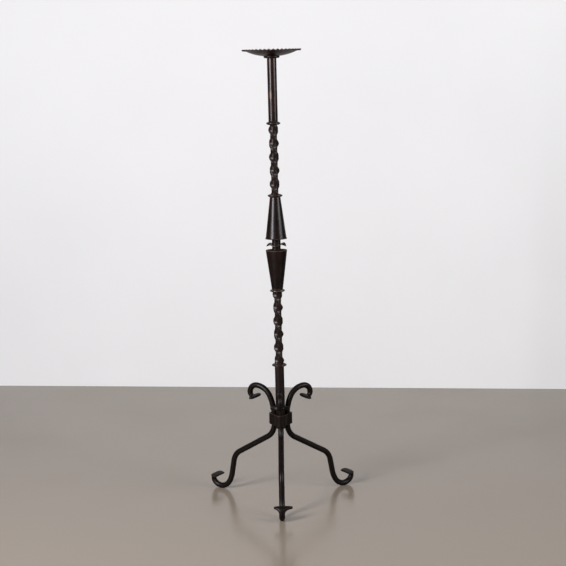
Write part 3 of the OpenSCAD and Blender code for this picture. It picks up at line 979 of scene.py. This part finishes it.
def addLeg(name, node, seed):
    az, shorter, lower, lean = legsByHand[node]
    spin = Matrix.Rotation(radians(az), 3, "Z")
    start = legStart()
    footTop = lowOf("base_band")[2] - leg["bandEdge"] * mm
    scrollFoot = highOf("base_band")[2] + leg["bandEdge"] * mm
    foot, scroll = list(leg["foot"]), list(leg["scroll"])
    foot[leg["footRun"]] = (foot[leg["footRun"]][0] - lower, 0)
    foot.insert(0, (lower, 0))
    scroll[leg["scrollRun"]] = (scroll[leg["scrollRun"]][0] - shorter, 0)
    down = legStations(pathMoves(foot) + tailMoves(footEnd), start)
    up = legStations(pathMoves(scroll) + tailMoves(scrollEnd), start)

    def footRow(station, nose=0.0):
        return legSection(station, -1, footTop, spin, seed, footEnd, lean, nose)

    def scrollRow(station, nose=0.0):
        return legSection(station, 1, scrollFoot, spin, seed, scrollEnd, 0.0, nose)

    noses = [radians(a) for a in leg["noses"]]
    rows = [footRow(down[-1], nose) for nose in noses]
    rows += [footRow(station) for station in down[::-1]]
    straight = (scrollFoot - footTop) / mm
    parts = ceil(straight / leg["step"])
    for k in range(1, parts):
        rows.append(scrollRow((start, straight * (k / parts - 1), 0.0, 0.0)))
    rows += [scrollRow(station) for station in up]
    rows += [scrollRow(up[-1], nose) for nose in noses[::-1]]
    skin(name, rows[::-1], legIron, node)


band = {
    "thick": 5.1 * mm,
    "dip": 1.6 * mm,          # how far it is hammered in between the legs
    "edge": 1.1 * mm,
    "arcShare": 0.62,         # share of each third that bends round the leg
    "seamAt": 1.81,           # in the hollow between the right and the left leg
    "seamGap": 0.006,
    "turns": 300,
    "marks": (6 * mm, 0.45 * mm),
    "markHeight": 0.35,       # a smaller number draws the marks out up and down
    "row": 1.2 * mm,
}


def bandPoint(t, off):
    # t goes round the band from 0 to 3, a third for each leg, half arc and half hollow
    centre = legStart() * mm
    r = leg["bar"] / 2 * mm + off
    third, share = int(t) % 3, t - int(t)
    az = radians(list(legsByHand.values())[third][0])
    arcShare = band["arcShare"]
    sixth = radians(60)
    if share < arcShare:
        a = az + sixth * (2 * share / arcShare - 1)
        return Vector((centre * cos(az) + r * cos(a), centre * sin(az) + r * sin(a)))
    middle = az + sixth
    u = 2 * (share - arcShare) / (1 - arcShare) - 1
    out = centre * cos(sixth) + r - band["dip"] * (1 + cos(pi * u)) / 2
    side = centre * sin(sixth) * u
    return Vector((out * cos(middle) - side * sin(middle), out * sin(middle) + side * cos(middle)))


def addBand():
    low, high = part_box("base_band")
    corners = [
        (0, low[2], 0.3 * mm),
        (band["thick"] - fit, low[2], band["edge"]),
        (band["thick"] - fit, high[2], band["edge"]),
        (0, high[2], 0.3 * mm),
    ]
    section = denser(roundCorners(corners, 4), band["row"])
    rows = []
    for k in range(band["turns"] + 1):
        t = band["seamAt"] + band["seamGap"] + (3 - 2 * band["seamGap"]) * k / band["turns"]
        inner = bandPoint(t % 3, fit)
        outer = bandPoint(t % 3, band["thick"])
        way = (outer - inner).normalized()
        row = []
        for u, z in section:
            flat = inner + way * u
            point = Vector((flat.x, flat.y, z))
            if u > band["thick"] / 2:
                long = Vector((flat.x, flat.y, z * band["markHeight"]))
                point = pressIn(point, hammer(long, *band["marks"], 23))
            row.append(point)
        rows.append(row)
    skin("collar_band", rows[::-1], bandIron, "base_band")


def addStand():
    addPan()
    addScrew()
    addSeat()
    print("pan ready")
    addTube("long_upper_tube", "upper_tube", tubeIron, 31)
    addTube("long_lower_tube", "lower_tube", shaftIron, 37)
    addTip()
    addRing("ring_under_tube", "tube_ring", ringIron, 41)
    addRing("ring_over_cones", "upper_cone_ring", ringIron, 42)
    addRing("ring_under_cones", "lower_cone_ring", brightRingIron, 43)
    addRing("ring_over_base", "base_ring", ringIron, 44)
    addTwist("ribbed_upper_bar", "upper_twist", "upper_cone_ring", "tube_ring", "upper", 51)
    addTwist("ribbed_lower_bar", "lower_twist", "base_ring", "lower_cone_ring", "lower", 53)
    addUpperCone()
    addLowerCone()
    addPlate("upper_cone_disc", "upper_cone_plate", 61)
    addPlate("lower_cone_disc", "lower_cone_plate", 67)
    addNeck()
    addRuffle()
    print("shaft ready")
    addLeg("forged_front_leg", "front_leg", 0.1)
    addLeg("forged_right_leg", "right_leg", 0.2)
    addLeg("forged_left_leg", "left_leg", 0.3)
    addBand()
    print("legs ready")


room = {
    "half": 1.1,              # the wall and the floor end outside the picture
    "deep": 2,
    "high": 2.2,
    "wallAt": 1.146,
    "wallTurn": 0.127,        # how much nearer the wall comes for each metre to the right
    "floorColor": (0.202, 0.170, 0.132),
    "floorShine": (0.14, 0.3),
    "wallColor": (0.655, 0.662, 0.65),
    "wallShine": (0.7, 0.2),
    "cloud": (3, 4),
    "fine": (140, 3),
    "sky": 0.04,
}


def plainMaterial(name, color, shine):
    rough, glossy = shine
    n = Nodes(name)
    cloud = n.noise(*room["cloud"])
    fine = n.noise(*room["fine"])
    darker = tuple(part * 0.93 for part in color)
    n.shader.inputs["Specular IOR Level"].default_value = glossy
    uneven = n.span(cloud, 0.3, 0.7, rough, rough + 0.12)
    return n.finish(n.mix(cloud, darker, color), uneven, fine, 0.1 * mm)


def addRoom():
    half, deep, high = room["half"], room["deep"], room["high"]
    turned = half * room["wallTurn"]
    near, far = room["wallAt"] - turned, room["wallAt"] + turned
    floor = bpy.data.meshes.new("floor")
    corners = [(-half, -deep, 0), (half, -deep, 0), (half, deep, 0), (-half, deep, 0)]
    floor.from_pydata(corners, [], [(0, 1, 2, 3)])
    floor.materials.append(plainMaterial("pale_floor", room["floorColor"], room["floorShine"]))
    wall = bpy.data.meshes.new("wall")
    corners = [(-half, far, 0), (half, near, 0), (half, near, high), (-half, far, high)]
    wall.from_pydata(corners, [], [(0, 1, 2, 3)])
    wall.materials.append(plainMaterial("pale_wall", room["wallColor"], room["wallShine"]))
    for mesh in (floor, wall):
        piece = bpy.data.objects.new(mesh.name, mesh)
        bpy.context.scene.collection.objects.link(piece)
    world = bpy.data.worlds.new("soft_sky")
    bpy.context.scene.world = world
    world.use_nodes = True
    sky = world.node_tree.nodes["Background"]
    sky.inputs["Color"].default_value = (1, 1, 1, 1)
    sky.inputs["Strength"].default_value = room["sky"]


# Each light has its place, what it points at, width, height, power and colour
lights = {
    "left_window": ((-2.02, -2.02, 1.65), (0.5, -0.2, 0.7), 0.9, 1.6, 172, (0.97, 0.95, 1.0)),
    "right_window": ((2.5, -1.35, 1.65), (0, 0, 0.95), 1.5, 1.6, 78, (0.98, 0.96, 1.0)),
    "ceiling": ((0, -2.2, 3.2), (0, 0.7, 0.3), 3.0, 1.2, 14, (1, 0.98, 0.95)),
}


def addLights():
    for name, (place, target, width, height, power, color) in lights.items():
        light = bpy.data.lights.new(name, "AREA")
        light.shape = "RECTANGLE"
        light.size = width
        light.size_y = height
        light.energy = power
        light.color = color
        lamp = bpy.data.objects.new(name, light)
        bpy.context.scene.collection.objects.link(lamp)
        lamp.location = place
        lamp.rotation_euler = (Vector(target) - Vector(place)).to_track_quat("-Z", "Y").to_euler()


view = {
    "place": (0.0398, -3.1167, 0.9805),
    "down": radians(8.61),
    "left": radians(0.49),
    "roll": radians(-1.41),
    "focal": 1373 / 566,      # in widths of the picture
}


def addCamera():
    down, yaw, roll = view["down"], -view["left"], view["roll"]
    ahead = Vector((sin(yaw) * cos(down), cos(yaw) * cos(down), -sin(down)))
    side = Vector((cos(yaw), -sin(yaw), 0))
    up = side.cross(ahead)
    across = cos(roll) * side + sin(roll) * up
    top = cos(roll) * up - sin(roll) * side
    data = bpy.data.cameras.new("camera")
    data.sensor_width = 36
    data.lens = view["focal"] * data.sensor_width
    camera = bpy.data.objects.new("camera", data)
    bpy.context.scene.collection.objects.link(camera)
    turn = Matrix((across, top, -ahead)).transposed().to_4x4()
    turn.translation = Vector(view["place"])
    camera.matrix_world = turn
    bpy.context.scene.camera = camera
    bpy.context.scene.view_settings.view_transform = "Standard"


addStand()
addRoom()
addLights()
addCamera()
print("room ready")
